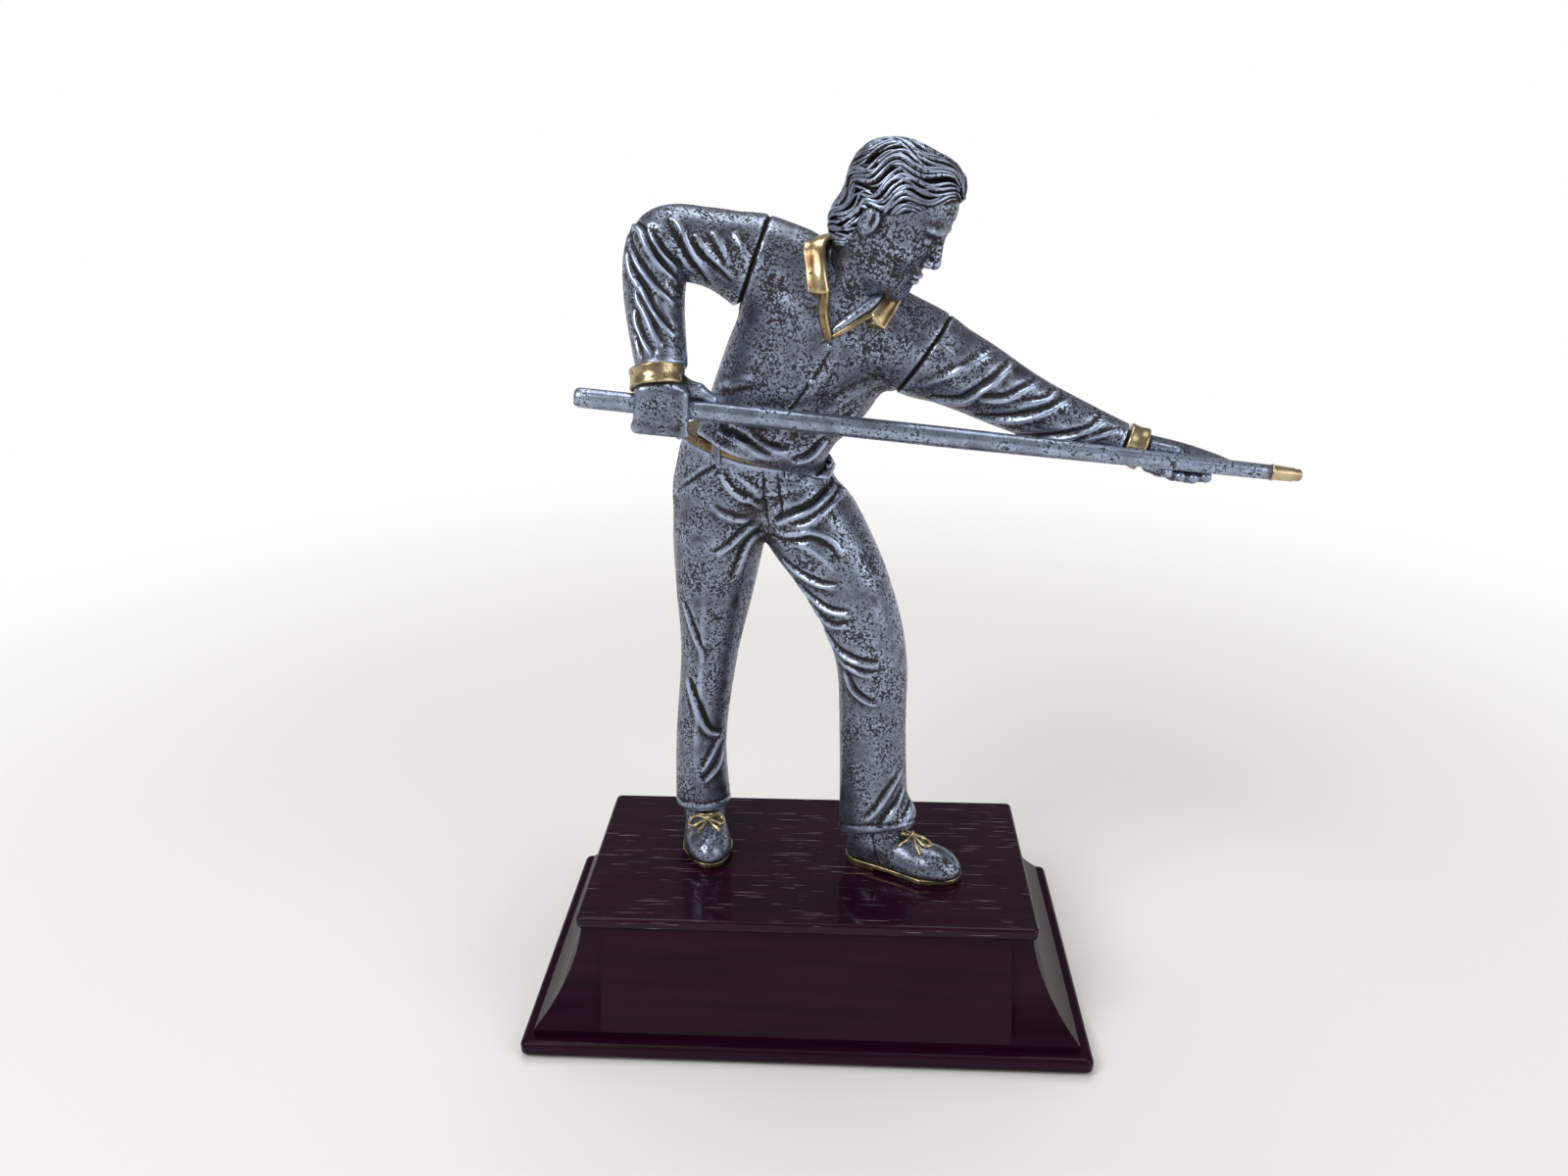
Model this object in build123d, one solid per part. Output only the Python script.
"""Billiards figure trophy: a cast resin pool player, bolted to a coved rosewood-finish wooden base.

Frame: millimetres, +Z up, origin on the surface it stands on, under the middle of the base.
The player faces -Y. Left and right are the player's own, so the right arm is on the -X side.
Every piece is one node. The figure's pieces hang on a skeleton of named points, measured from the
point where the figure stands, and seat in each other with no gap, as glued castings do.
"""

import math
import os

from build123d import *

os.makedirs("parts", exist_ok=True)

# ---------------------------------------------------------------- base sizes
felt_thickness = 0.8
felt_inset = 3.0
plinth_width = 152.0
plinth_depth = 88.0
plinth_height = 4.4
plinth_corner = 2.0
plinth_edge = 1.4
pedestal_margin = 3.4  # plinth edge to the pedestal's foot
pedestal_height = 27.9
foot_height = 1.8  # the upright band under the cove
cove_sag = 2.3  # how far the cove dips behind its chord
top_board_width = 123.0
top_board_depth = 63.0
top_board_height = 3.4
top_board_corner = 1.6
top_board_edge = 1.1
top_overhang = 1.4
panel_width = 109.0  # the flat left on the front of the cove

# ---------------------------------------------------------------- fasteners
stud_radius = 2.0
stud_hole_gap = 0.4
stud_rise = 24.0  # how far the stud runs up inside the leg
stud_end = 1.5  # how far it stands below its nut
nut_width = 7.0
nut_height = 3.2
washer_radius = 4.5
washer_height = 0.8
counterbore_radius = 6.0
counterbore_depth = 9.0
screw_radius = 1.6
screw_head_radius = 3.2
screw_length = 15.0
screw_inset = 17.0
dowel_radius = 1.6
dowel_length = 14.0

# ---------------------------------------------------------------- figure sizes
figure_scale = 1.0  # scales the skeleton and the girths together
cue_butt_radius = 2.35
cue_middle_radius = 2.45
cue_front_radius = 1.75
cue_tip_radius = 1.45
cue_tip_length = 7.0
grip_wall = 3.9  # flesh around the cue in the closed hand
fist_length = 12.6
knuckle_rounding = 2.4
thumb_radius = 1.8
finger_radius = 1.7
sole_height = 2.2
arch_height = 0.9  # how far the sole's arch is hollowed
shoe_length = 34.0
shoe_width = 13.6
heel_radius = 5.4
toe_radius = 4.4
belt_height = 2.6
belt_proud = 0.7
cuff_height = 5.4
cuff_proud = 0.5
button_radius = 0.9
button_proud = 0.5
button_sunk = 1.5
button_shares = (0.10, 0.36, 0.62, 0.86)  # places down the placket
lace_width = 0.8
lace_rise = 1.8
lace_place = 0.56  # share of the shoe, from the heel
instep_slope = math.radians(28)
collar_thickness = 1.3
collar_low_radius = 14.2
collar_high_radius = 10.2
collar_fall = 5.0
collar_stand = 3.4
collar_gap = 8.0  # width of the parting at the throat

# ---------------------------------------------------------------- derived heights
plinth_z = felt_thickness
pedestal_z = plinth_z + plinth_height
top_board_z = pedestal_z + pedestal_height
stand_z = top_board_z + top_board_height


def at(x, y, z):
    """A point of the skeleton, given in figure millimetres from the standing point."""
    return Vector(x * figure_scale, y * figure_scale, stand_z + z * figure_scale)


def size(value):
    """A girth or length that grows with the figure."""
    return value * figure_scale


# ---------------------------------------------------------------- skeleton
right_hem = at(-31.6, 12.5, 8.4)
left_hem = at(19.6, -1.0, 9.0)
right_toe = at(-27.4, -8.4, 0)
left_toe = at(42.4, -10.6, 0)
right_heading = -79.0  # degrees from +X, the way each shoe points
left_heading = -22.0
waist = at(-11.9, 4.0, 119.6)
waist_up = Vector(0.25, -0.05, 0.97).normalized()
neck_root = at(8.6, -3.4, 154.0)
skull = at(19.6, -10.6, 178.0)
right_seam = at(-12.9, 0.0, 166.2)
left_seam = at(27.4, -3.0, 145.2)
right_elbow = at(-35.4, -3.0, 172.8)
right_wrist = at(-33.8, -15.5, 143.6)
left_elbow = at(52.0, -7.0, 133.6)
left_wrist = at(74.6, -11.0, 125.6)
cue_butt = at(-54.2, -18.0, 137.4)
cue_end = at(114.5, -18.0, 119.7)
grip = at(-32.4, -18.0, 135.1)

cue_line = (cue_end - cue_butt).normalized()
cue_length = (cue_end - cue_butt).length
face_yaw = 70.0  # the head turns this far to the player's left
face_pitch = 32.0  # and nods this far down
head_forward = Vector(
    math.sin(math.radians(face_yaw)) * math.cos(math.radians(face_pitch)),
    -math.cos(math.radians(face_yaw)) * math.cos(math.radians(face_pitch)),
    -math.sin(math.radians(face_pitch)),
)
head_up = Vector(
    math.sin(math.radians(face_yaw)) * math.sin(math.radians(face_pitch)),
    -math.cos(math.radians(face_yaw)) * math.sin(math.radians(face_pitch)),
    math.cos(math.radians(face_pitch)),
)


# ---------------------------------------------------------------- shape helpers
def oval(centre, normal, across, half_across, half_deep):
    """An elliptical section at centre, square to normal, with its first axis along across."""
    flat = across - normal * (across.dot(normal) / normal.dot(normal))
    return Plane(origin=centre, x_dir=flat, z_dir=normal) * Ellipse(half_across, half_deep)


def skin(sections):
    """A smooth solid through sections, each (centre, normal, across, half_across, half_deep)."""
    return loft([oval(*section) for section in sections])


def rod(start, end, radius, end_radius=None):
    """A round bar or cone from start to end."""
    run = end - start
    plane = Plane(origin=start, z_dir=run)
    shape = (
        Cylinder(radius, run.length, align=(Align.CENTER, Align.CENTER, Align.MIN))
        if end_radius is None
        else Cone(radius, end_radius, run.length, align=(Align.CENTER, Align.CENTER, Align.MIN))
    )
    return plane * shape


def finger(points, radius):
    """A round-ended bar along points."""
    shape = Pos(points[0]) * Sphere(radius)
    for start, end in zip(points, points[1:]):
        shape = shape + rod(start, end, radius) + Pos(end) * Sphere(radius)
    return shape


def board(width, depth, height, corner, edge, z):
    """A board with rounded corners and eased upper and lower edges."""
    flat = Pos(0, 0, z) * extrude(RectangleRounded(width, depth, corner), height)
    rims = flat.faces().sort_by(Axis.Z)
    return fillet(rims[-1].edges() + rims[0].edges(), edge)


def save(shape, name):
    """Writes one node's STEP file."""
    shape.label = name
    export_step(shape, f"parts/{name}.step")


# ---------------------------------------------------------------- base
def cove_profile(half_foot, half_neck, chord=False):
    """Half outline of the pedestal seen from one side, mirrored: foot band, cove, neck."""
    foot_top = (half_foot, foot_height)
    neck_top = (half_neck, pedestal_height)
    run = Vector(half_neck - half_foot, pedestal_height - foot_height)
    inward = Vector(-run.Y, run.X).normalized()
    middle = Vector(*foot_top) + run * 0.5 + inward * cove_sag
    sides = []
    for side in (1, -1):
        a = (side * foot_top[0], foot_top[1])
        b = (side * neck_top[0], neck_top[1])
        m = (side * middle.X, middle.Y)
        sides += [Line((side * half_foot, 0), a), Line(a, b) if chord else ThreePointArc(a, m, b)]
    sides += [Line((-half_foot, 0), (half_foot, 0)), Line((-half_neck, pedestal_height), neck_top)]
    return make_face(Curve() + sides)


def standing(profile, plane, length, z):
    """Extrudes a side profile evenly both ways across plane and stands it at height z."""
    return Pos(0, 0, z) * extrude(plane * profile, length / 2, both=True)


def make_pedestal():
    foot_x = plinth_width / 2 - pedestal_margin
    foot_y = plinth_depth / 2 - pedestal_margin
    neck_x = top_board_width / 2 - top_overhang
    neck_y = top_board_depth / 2 - top_overhang
    front = standing(cove_profile(foot_x, neck_x), Plane.XZ, plinth_depth, pedestal_z)
    side = standing(cove_profile(foot_y, neck_y), Plane.YZ, plinth_width, pedestal_z)
    flat = standing(cove_profile(foot_y, neck_y, chord=True), Plane.YZ, panel_width, pedestal_z)
    front_half = Pos(0, -plinth_depth / 2, pedestal_z + pedestal_height / 2) * Box(
        plinth_width, plinth_depth, pedestal_height
    )
    return (front & side) + (flat & front_half)


def shoe_place(toe, heading):
    """The shoe's own frame: origin at the heel on the ground, +X towards the toe."""
    angle = math.radians(heading)
    forward = Vector(math.cos(angle), math.sin(angle), 0)
    heel = toe - forward * size(shoe_length)
    return Plane(origin=heel, x_dir=forward, z_dir=(0, 0, 1))


shoe_frames = {
    "right": shoe_place(right_toe, right_heading),
    "left": shoe_place(left_toe, left_heading),
}
ankles = {
    side: plane.origin + plane.x_dir * size(0.30 * shoe_length)
    for side, plane in shoe_frames.items()
}


def make_stud(side):
    """The steel stud cast into the leg: it passes the base and takes the nut in its counterbore."""
    foot = ankles[side]
    low = plinth_z + counterbore_depth - nut_height - washer_height - stud_end
    return rod(Vector(foot.X, foot.Y, low), Vector(foot.X, foot.Y, stand_z + stud_rise), stud_radius)


seat_z = plinth_z + counterbore_depth  # where the washer bears
studs = {side: make_stud(side) for side in ankles}


def bores():
    """Clearance holes for the studs and the counterbores under them."""
    cut = None
    for foot in ankles.values():
        hole = rod(
            Vector(foot.X, foot.Y, seat_z), Vector(foot.X, foot.Y, stand_z), stud_radius + stud_hole_gap
        )
        pocket = rod(
            Vector(foot.X, foot.Y, plinth_z), Vector(foot.X, foot.Y, seat_z), counterbore_radius
        )
        cut = hole + pocket if cut is None else cut + hole + pocket
    return cut


def make_screws():
    """Four countersunk wood screws that hold the plinth to the pedestal from below."""
    screws = []
    for x in (-1, 1):
        for y in (-1, 1):
            screw_x, screw_y = plinth_width / 2 - screw_inset, plinth_depth / 2 - screw_inset
            place = Vector(x * screw_x, y * screw_y, plinth_z)
            head = Pos(place) * Cone(
                screw_head_radius,
                screw_radius,
                screw_head_radius - screw_radius,
                align=(Align.CENTER, Align.CENTER, Align.MIN),
            )
            screws.append(head + rod(place, place + Vector(0, 0, screw_length), screw_radius))
    return Compound(children=screws)


screws = make_screws()
stud_cut = bores()
felt = extrude(
    RectangleRounded(plinth_width - 2 * felt_inset, plinth_depth - 2 * felt_inset, plinth_corner),
    felt_thickness,
)
plinth = board(plinth_width, plinth_depth, plinth_height, plinth_corner, plinth_edge, plinth_z)
plinth = plinth - screws - stud_cut
pedestal = make_pedestal() - screws - stud_cut
top_board = (
    board(top_board_width, top_board_depth, top_board_height, top_board_corner, top_board_edge, top_board_z)
    - stud_cut
)


def make_washer(foot):
    place = Pos(foot.X, foot.Y, seat_z - washer_height)
    ring = Cylinder(washer_radius, washer_height, align=(Align.CENTER, Align.CENTER, Align.MIN))
    return place * (ring - Cylinder(stud_radius + stud_hole_gap / 2, 4 * washer_height))


def make_nut(foot):
    place = Pos(foot.X, foot.Y, seat_z - washer_height - nut_height)
    hexagon = extrude(RegularPolygon(nut_width / 2, 6, major_radius=False), nut_height)
    return place * (hexagon - Cylinder(stud_radius, 4 * nut_height))


washers = Compound(children=[make_washer(foot) for foot in ankles.values()])
nuts = Compound(children=[make_nut(foot) for foot in ankles.values()])


# ---------------------------------------------------------------- shoes
def shoe_sole(plane):
    """The welted sole: a last outline around heel, ball and toe circles, with a hollow arch."""
    length, ball, heel, toe = size(shoe_length), size(shoe_width) / 2, size(heel_radius), size(toe_radius)
    rounds = [
        CenterArc((heel, 0), heel, 0, 360),
        CenterArc((0.72 * length, 0), ball, 0, 360),
        CenterArc((length - toe, 0), toe, 0, 360),
    ]
    slab = extrude(make_hull(rounds), size(sole_height))
    arch = Pos(0.40 * length, 0, 0) * Box(0.14 * length, 4 * ball, size(arch_height))
    return plane * (slab - arch)


def shoe_upper(plane):
    """The upper: half-oval sections from heel counter to toe cap, standing on the sole."""
    rows = (  # share of the length, half width, height above the sole
        (0.03, 3.0, 5.6),
        (0.14, 4.7, 8.6),
        (0.34, 5.1, 10.0),
        (0.52, 5.7, 8.6),
        (0.72, 6.3, 6.4),
        (0.88, 5.2, 5.0),
        (0.975, 2.6, 2.8),
    )
    faces = []
    for share, half, high in rows:
        arc = EllipticalCenterArc((0, 0), size(half), size(high), start_angle=0, arc_size=180)
        base_line = Line((-size(half), 0), (size(half), 0))
        section = Plane(
            origin=(share * size(shoe_length), 0, size(sole_height)), x_dir=(0, 1, 0), z_dir=(1, 0, 0)
        )
        faces.append(section * make_face(Curve() + [arc, base_line]))
    return plane * loft(faces)


def shoe_laces(plane, upper):
    """A bow on the instep, cast flat against the upper: two loops, two tails and the knot."""
    bow = Rectangle(size(2.0), size(2.2))
    for side in (1, -1):
        loop = Ellipse(size(1.6), size(2.3)) - Ellipse(size(1.6 - lace_width), size(2.3 - lace_width))
        tail = Rectangle(size(4.4), size(lace_width), align=(Align.MIN, Align.CENTER))
        bow = bow + Pos(-size(0.8), side * size(2.7)) * Rot(0, 0, side * 24) * loop
        bow = bow + Rot(0, 0, side * 38) * tail
    rest = Plane(
        origin=(lace_place * size(shoe_length), 0, size(sole_height + 7.2)),
        x_dir=(math.cos(instep_slope), 0, -math.sin(instep_slope)),
        z_dir=(math.sin(instep_slope), 0, math.cos(instep_slope)),
    )
    return plane * (rest * extrude(bow, size(lace_rise))) - upper


soles = {side: shoe_sole(plane) - studs[side] for side, plane in shoe_frames.items()}
uppers = {side: shoe_upper(plane) - studs[side] for side, plane in shoe_frames.items()}
laces = {side: shoe_laces(plane, uppers[side]) for side, plane in shoe_frames.items()}

# ---------------------------------------------------------------- trousers and belt
ACROSS = Vector(1, 0, 0)
UP = Vector(0, 0, 1)
hips = at(-14.2, 6.0, 108.0)
belt_low = waist - waist_up * size(belt_height)
right_leg = skin(
    [
        (right_hem, UP, ACROSS, size(8.1), size(9.2)),
        (at(-31.4, 12.0, 32.3), UP, ACROSS, size(7.2), size(8.2)),
        (at(-28.2, 11.0, 59.2), UP, ACROSS, size(7.9), size(8.8)),
        (at(-26.0, 9.6, 78.8), UP, ACROSS, size(10.4), size(10.8)),
        (at(-24.2, 8.0, 95.0), UP, ACROSS, size(12.2), size(12.4)),
        (at(-20.5, 6.5, 107.0), UP, ACROSS, size(11.0), size(11.6)),
    ]
)
left_leg = skin(
    [
        (left_hem, UP, ACROSS, size(9.4), size(9.0)),
        (at(18.9, -2.6, 41.5), UP, ACROSS, size(8.5), size(8.4)),
        (at(17.4, -4.0, 66.0), Vector(-0.25, 0.1, 1), ACROSS, size(9.0), size(8.8)),
        (at(10.6, 0.0, 83.2), Vector(-0.46, 0.2, 1), ACROSS, size(10.6), size(10.6)),
        (at(1.6, 4.0, 98.0), Vector(-0.4, 0.1, 1), ACROSS, size(12.2), size(12.2)),
        (at(-3.6, 5.5, 107.0), Vector(-0.1, 0, 1), ACROSS, size(11.0), size(11.6)),
    ]
)
pelvis = skin(
    [
        (at(-12.8, 6.6, 97.0), UP, ACROSS, size(19.2), size(11.2)),
        (hips, Vector(0.1, 0, 1), ACROSS, size(19.6), size(12.6)),
        (belt_low, waist_up, ACROSS, size(17.4), size(11.6)),
    ]
)
tenon = skin(
    [
        (waist - waist_up * size(9.0), waist_up, ACROSS, size(12.5), size(7.5)),
        (waist - waist_up * size(4.0), waist_up, ACROSS, size(13.0), size(8.0)),
        (waist + waist_up * size(1.0), waist_up, ACROSS, size(13.5), size(8.5)),
    ]
)
trousers = right_leg + left_leg + pelvis
for side in ankles:
    trousers = trousers - uppers[side] - laces[side] - studs[side]
trousers = trousers - tenon
belt_outline = oval(belt_low, waist_up, ACROSS, size(17.4 + belt_proud), size(11.6 + belt_proud))
belt = extrude(belt_outline, size(belt_height)) - tenon

# ---------------------------------------------------------------- cue
cue_front = cue_end - cue_line * size(cue_tip_length)
cue_middle = cue_butt + cue_line * (cue_length * 0.52)
cue_shaft = rod(cue_butt, cue_middle, size(cue_butt_radius), size(cue_middle_radius)) + rod(
    cue_middle, cue_front, size(cue_middle_radius), size(cue_front_radius)
)
cue_tip = rod(cue_front, cue_end, size(cue_front_radius), size(cue_tip_radius))

# ---------------------------------------------------------------- shirt
shirt_trunk = skin(
    [
        (waist, waist_up, ACROSS, size(17.8), size(12.4)),
        (at(-9.0, 2.6, 129.0), Vector(0.38, -0.1, 0.92), ACROSS, size(18.4), size(13.6)),
        (at(-1.0, 0.4, 142.0), Vector(0.48, -0.16, 0.88), ACROSS, size(19.6), size(13.8)),
        (at(5.6, -1.6, 153.0), Vector(0.5, -0.2, 0.86), ACROSS, size(17.0), size(12.2)),
        (at(10.2, -3.4, 162.0), Vector(0.5, -0.2, 0.86), ACROSS, size(8.4), size(7.8)),
    ]
)
right_seam_out = Vector(-0.94, 0.0, 0.34)
left_seam_out = Vector(0.82, -0.05, -0.57)
yoke = skin(
    [
        (right_seam, right_seam_out, UP, size(10.4), size(8.8)),
        (at(-2.0, -0.6, 161.0), Vector(-0.92, 0.05, 0.40), UP, size(11.4), size(10.4)),
        (at(12.0, -1.6, 152.6), Vector(-0.88, 0.05, 0.48), UP, size(10.6), size(10.2)),
        (left_seam, left_seam_out * -1, UP, size(10.2), size(8.8)),
    ]
)
neck_top = skull - head_up * size(6.0) - head_forward * size(3.4)
neck = skin(
    [
        (neck_root, Vector(0.3, -0.3, 0.9), ACROSS, size(6.6), size(6.8)),
        ((neck_root + neck_top) * 0.5, Vector(0.3, -0.3, 0.9), ACROSS, size(6.8), size(6.8)),
        (neck_top, Vector(0.4, -0.25, 0.85), ACROSS, size(7.4), size(7.4)),
    ]
)
dowels = {
    "right": rod(
        right_seam - right_seam_out * size(dowel_length / 2),
        right_seam + right_seam_out * size(dowel_length / 2),
        size(dowel_radius),
    ),
    "left": rod(
        left_seam - left_seam_out * size(dowel_length / 2),
        left_seam + left_seam_out * size(dowel_length / 2),
        size(dowel_radius),
    ),
}

# ---------------------------------------------------------------- sleeves, cuffs and hands
right_arm_down = (right_wrist - right_elbow).normalized()
left_arm_out = (left_wrist - left_elbow).normalized()
right_sleeve = skin(
    [
        (right_seam, right_seam_out, UP, size(10.4), size(8.8)),
        (at(-24.2, -0.8, 169.6), Vector(-1, 0, 0.1), UP, size(9.0), size(8.4)),
        (at(-34.4, -2.6, 170.0), Vector(-0.62, -0.2, -0.75), UP, size(8.6), size(7.6)),
        (at(-36.2, -6.4, 160.0), Vector(0.0, -0.38, -0.92), Vector(-1, 0, 0), size(7.3), size(7.2)),
        (right_wrist, right_arm_down, Vector(-1, 0, 0), size(6.1), size(6.1)),
    ]
)
left_sleeve = skin(
    [
        (left_seam, left_seam_out, UP, size(10.2), size(8.8)),
        (at(38.6, -4.8, 140.2), Vector(0.92, -0.13, -0.36), UP, size(9.0), size(8.6)),
        (left_elbow, Vector(0.94, -0.14, -0.32), UP, size(7.3), size(7.4)),
        (at(65.0, -9.4, 128.6), left_arm_out, UP, size(5.9), size(6.2)),
        (left_wrist, left_arm_out, UP, size(4.6), size(4.6)),
    ]
)


def cuff(wrist, along, radius, hand_radius):
    """A turned-back cuff: a band past the end of the sleeve, around the wrist."""
    band = rod(wrist, wrist + along * size(cuff_height), size(radius + cuff_proud))
    core = rod(wrist - along * size(4), wrist + along * size(cuff_height + 1), size(hand_radius))
    return band - core, core


right_cuff, right_core = cuff(right_wrist, right_arm_down, 6.1, 4.6)
left_cuff, left_core = cuff(left_wrist, left_arm_out, 4.6, 3.7)

grip_half = size(cue_butt_radius + grip_wall)
fist_place = Plane(origin=grip, x_dir=cue_line, z_dir=cue_line.cross(Vector(0, 1, 0)) * -1)
fist_block = Box(size(fist_length), 2 * grip_half, 2 * grip_half)
fist = fist_place * fillet(fist_block.edges(), size(knuckle_rounding))
thumb = finger(
    [grip + Vector(size(4), size(3.0), size(4.2)), grip + Vector(size(13), size(2.4), size(3.4))],
    size(thumb_radius),
)
right_hand = fist + thumb + right_core
right_hand = right_hand - cue_shaft

palm = skin(
    [
        (left_wrist, left_arm_out, UP, size(3.7), size(3.7)),
        (at(85.0, -12.6, 123.2), Vector(0.95, -0.1, -0.3), UP, size(4.6), size(3.6)),
        (at(91.0, -13.8, 120.6), Vector(0.97, -0.1, -0.2), UP, size(4.0), size(3.0)),
        (at(97.0, -14.4, 119.4), Vector(0.98, 0, -0.15), UP, size(2.4), size(1.8)),
    ]
)
left_hand = palm + left_core
for step in range(4):
    root = at(84.5 + 3.4 * step, -13.4, 119.0 - 0.3 * step)
    tip = root + Vector(size(1.6), -size(5.4), -size(1.4))
    left_hand = left_hand + finger([root, tip], size(finger_radius))
left_hand = left_hand - cue_shaft

# ---------------------------------------------------------------- head
head_across = head_forward.cross(head_up)


def on_head(up, forward, side=0.0):
    """A point of the head, from the middle of the skull."""
    return skull + head_up * size(up) + head_forward * size(forward) + head_across * size(side)


def head_section(up, forward, half_across, half_deep):
    """A level section of the head."""
    return (on_head(up, forward), head_up, head_across, size(half_across), size(half_deep))


face = skin(
    [
        head_section(-16.4, 7.2, 3.2, 3.0),
        head_section(-12.6, 5.0, 6.6, 6.8),
        head_section(-6.0, 1.8, 9.2, 10.6),
        head_section(1.0, 0.0, 10.4, 13.0),
        head_section(8.0, -0.6, 10.6, 13.4),
        head_section(13.0, -0.4, 8.6, 10.8),
        head_section(15.8, 0.0, 4.4, 5.6),
    ]
)
nose = skin(
    [
        (on_head(2.0, 12.4), head_up, head_across, size(1.0), size(1.4)),
        (on_head(-1.5, 13.0), head_up, head_across, size(1.3), size(2.0)),
        (on_head(-4.6, 12.6), head_up, head_across, size(2.0), size(2.8)),
        (on_head(-5.8, 11.8), head_up, head_across, size(1.5), size(2.0)),
    ]
)
ears = [
    skin(
        [
            (on_head(-2.2, -1.6, side * 8.0), head_across * side, head_up, size(3.4), size(2.0)),
            (on_head(-1.8, -2.2, side * 11.4), head_across * side, head_up, size(3.8), size(2.4)),
        ]
    )
    for side in (1, -1)
]
hair = skin(
    [
        head_section(-8.0, -4.4, 7.6, 8.4),
        head_section(-2.0, -3.0, 10.8, 11.6),
        head_section(6.0, -1.6, 11.6, 13.6),
        head_section(11.4, 0.4, 10.2, 13.0),
        head_section(15.6, 1.2, 5.8, 7.6),
    ]
)
head = face + nose + ears[0] + ears[1] + hair + neck - thumb

# ---------------------------------------------------------------- joints between the castings
shirt = shirt_trunk + yoke + tenon
shirt = shirt - neck - dowels["right"] - dowels["left"] - belt - trousers
head = head - shirt
right_sleeve = right_sleeve - right_core - dowels["right"] - shirt
left_sleeve = left_sleeve - left_core - dowels["left"] - shirt - cue_shaft
shirt = shirt - cue_shaft - right_hand
right_cuff = right_cuff - right_hand - cue_shaft
left_cuff = left_cuff - left_hand - cue_shaft
left_hand = left_hand - left_sleeve
right_hand = right_hand - right_sleeve

# ---------------------------------------------------------------- collar and buttons
collar_axis = Vector(0.48, -0.38, 0.79).normalized()
collar_middle = at(10.2, -7.6, 161.4)


def make_collar():
    """The turned-down collar: a cone around the neck, parted at the throat, lying on the shirt."""
    low = collar_middle - collar_axis * size(collar_fall)
    high = collar_middle + collar_axis * size(collar_stand)
    outer = rod(low, high, size(collar_low_radius), size(collar_high_radius))
    inner = rod(
        low,
        high,
        size(collar_low_radius - collar_thickness),
        size(collar_high_radius - collar_thickness),
    )
    throat = Plane(origin=collar_middle, x_dir=(0.42, 0.91, 0), z_dir=(0, 0, 1))
    reach = size(3 * collar_low_radius)
    opening = throat * Pos(-reach / 2, 0, 0) * Box(reach, size(collar_gap), reach)
    return outer - inner - opening - shirt - head


def front_point(x, z):
    """Where a line from the front first meets the shirt at x and z."""
    probe = Axis((x, -200, z), (0, 1, 0))
    hits = [point for point, _ in shirt.find_intersection_points(probe)]
    return min(hits, key=lambda point: point.Y)


def make_buttons():
    """Four shirt buttons down the placket."""
    discs = []
    high, low = at(6.0, 0, 148.0), at(-8.5, 0, 124.0)
    for share in button_shares:
        spot = high + (low - high) * share
        place = front_point(spot.X, spot.Z)
        outer = place - Vector(0, size(button_proud), 0)
        disc = rod(outer, place + Vector(0, size(button_sunk), 0), size(button_radius))
        discs.append(disc - shirt - cue_shaft)
    return discs


collar = make_collar()
buttons = make_buttons()
chosen = [solid for disc in buttons for solid in disc.solids()]

# ---------------------------------------------------------------- write the nodes
nodes = {
    "felt_pad": felt,
    "plinth_board": plinth,
    "plinth_screws": screws,
    "pedestal_block": pedestal,
    "top_board": top_board,
    "stud_nuts": nuts,
    "stud_washers": washers,
    "right_leg_stud": studs["right"],
    "left_leg_stud": studs["left"],
    "right_sole": soles["right"],
    "left_sole": soles["left"],
    "right_shoe": uppers["right"],
    "left_shoe": uppers["left"],
    "right_laces": laces["right"],
    "left_laces": laces["left"],
    "trousers": trousers,
    "belt": belt,
    "shirt_body": shirt,
    "shirt_buttons": Compound(children=chosen),
    "collar": collar,
    "head": head,
    "shoulder_dowels": Compound(children=list(dowels.values())),
    "right_sleeve": right_sleeve,
    "left_sleeve": left_sleeve,
    "right_cuff": right_cuff,
    "left_cuff": left_cuff,
    "right_hand": right_hand,
    "left_hand": left_hand,
    "cue_shaft": cue_shaft,
    "cue_tip": cue_tip,
}
for name, shape in nodes.items():
    save(shape, name)
    print(name, len(shape.solids()), round(sum(solid.volume for solid in shape.solids()), 1))
